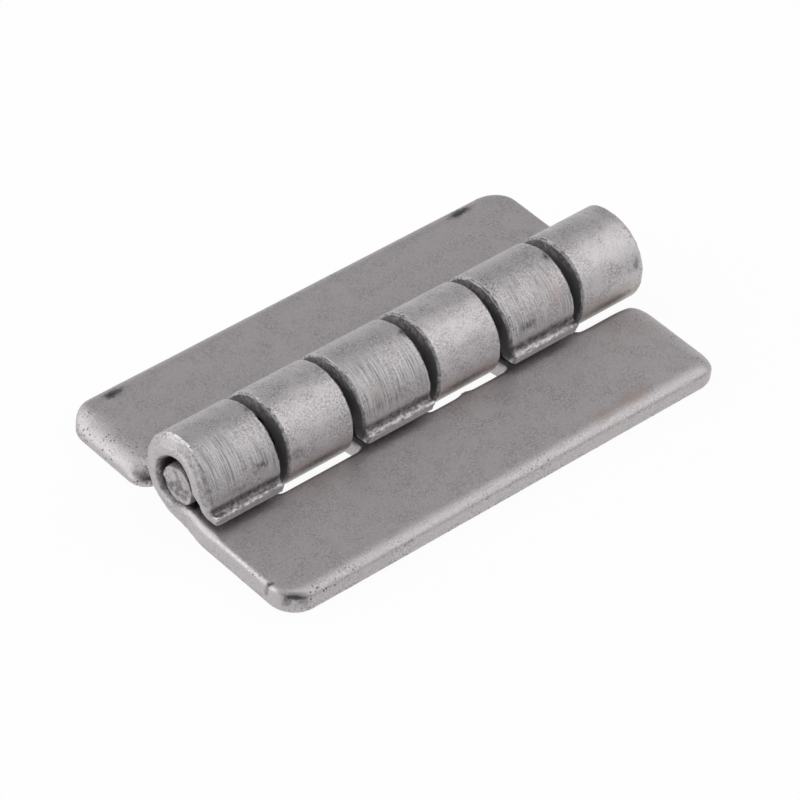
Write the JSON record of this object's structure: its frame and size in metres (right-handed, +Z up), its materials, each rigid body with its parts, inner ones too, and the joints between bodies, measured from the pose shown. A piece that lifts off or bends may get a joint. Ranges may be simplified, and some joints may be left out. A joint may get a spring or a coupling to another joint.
{
  "type": "butt hinge",
  "caption": "Weld-on butt hinge of raw sheet steel: plain leaves without screw holes, their rolled knuckles interlocking on a round pin, lying open flat.",
  "frame": {"origin": "below the middle of the pin, on the plane of the leaves' undersides", "axes": "+X along the pin, towards the back leaf's end knuckle; +Y from the front leaf to the back leaf; +Z up, from the undersides to the barrel"},
  "size_m": [0.0502, 0.0296, 0.0088],
  "materials": {
    "leaf_steel": "raw tumbled mild steel, matt grey",
    "pin_steel": "raw drawn steel with sheared ends"
  },
  "bodies": {
    "front": {"front_leaf": "leaf_steel", "hinge_pin": "pin_steel"},
    "back": {"back_leaf": "leaf_steel"}
  },
  "joints": [
    {"name": "leaf_swing", "type": "hinge", "parent": "front", "child": "back", "pos_m": [0, 0, 0.0045], "axis": [1, 0, 0], "range_deg": [-75, 197]}
  ]
}
